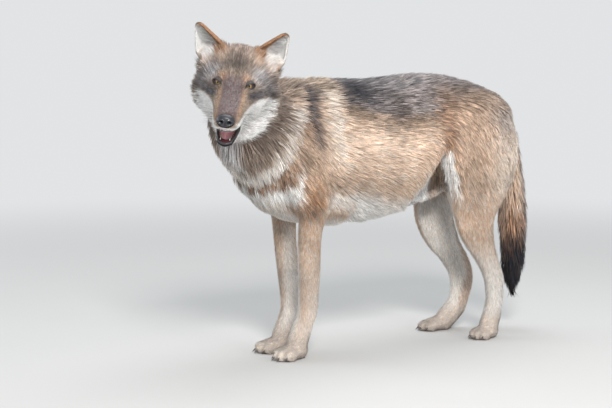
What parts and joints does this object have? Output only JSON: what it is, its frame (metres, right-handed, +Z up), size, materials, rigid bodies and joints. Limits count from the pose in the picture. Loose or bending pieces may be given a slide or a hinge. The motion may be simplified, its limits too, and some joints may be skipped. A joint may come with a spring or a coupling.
{
  "type": "grey wolf",
  "caption": "Standing grey wolf (timber wolf) at life size, head turned to its left with the mouth open, tail hanging, as a still museum model.",
  "frame": {"origin": "middle of the bounding box, at floor height, under the paws", "axes": "+X to the animal's left, +Y to its tail (it faces -Y), +Z up"},
  "size_m": [0.447, 1.2216, 0.9349],
  "materials": {
    "coat_head": "short grizzled fur, matt",
    "coat_grizzled": "long grizzled fur, matt",
    "coat_tan": "tan fur, matt",
    "coat_pale": "pale fur, matt",
    "coat_ear": "short rusty fur, matt",
    "nose": "bare skin, moist",
    "tongue": "bare skin, moist",
    "eye": "glossy"
  },
  "bodies": {
    "root": {"head": "coat_head", "lower_jaw": "coat_pale", "ear_left": "coat_ear", "ear_right": "coat_ear", "neck": "coat_grizzled", "trunk": "coat_grizzled", "tail": "coat_grizzled", "upper_foreleg_left": "coat_tan", "upper_foreleg_right": "coat_tan", "thigh_left": "coat_tan", "thigh_right": "coat_tan", "forearm_left": "coat_pale", "forearm_right": "coat_pale", "forepaw_left": "coat_pale", "forepaw_right": "coat_pale", "shank_left": "coat_pale", "shank_right": "coat_pale", "hind_foot_left": "coat_pale", "hind_foot_right": "coat_pale", "nose": "nose", "tongue": "tongue", "eye_left": "eye", "eye_right": "eye"}
  },
  "joints": []
}
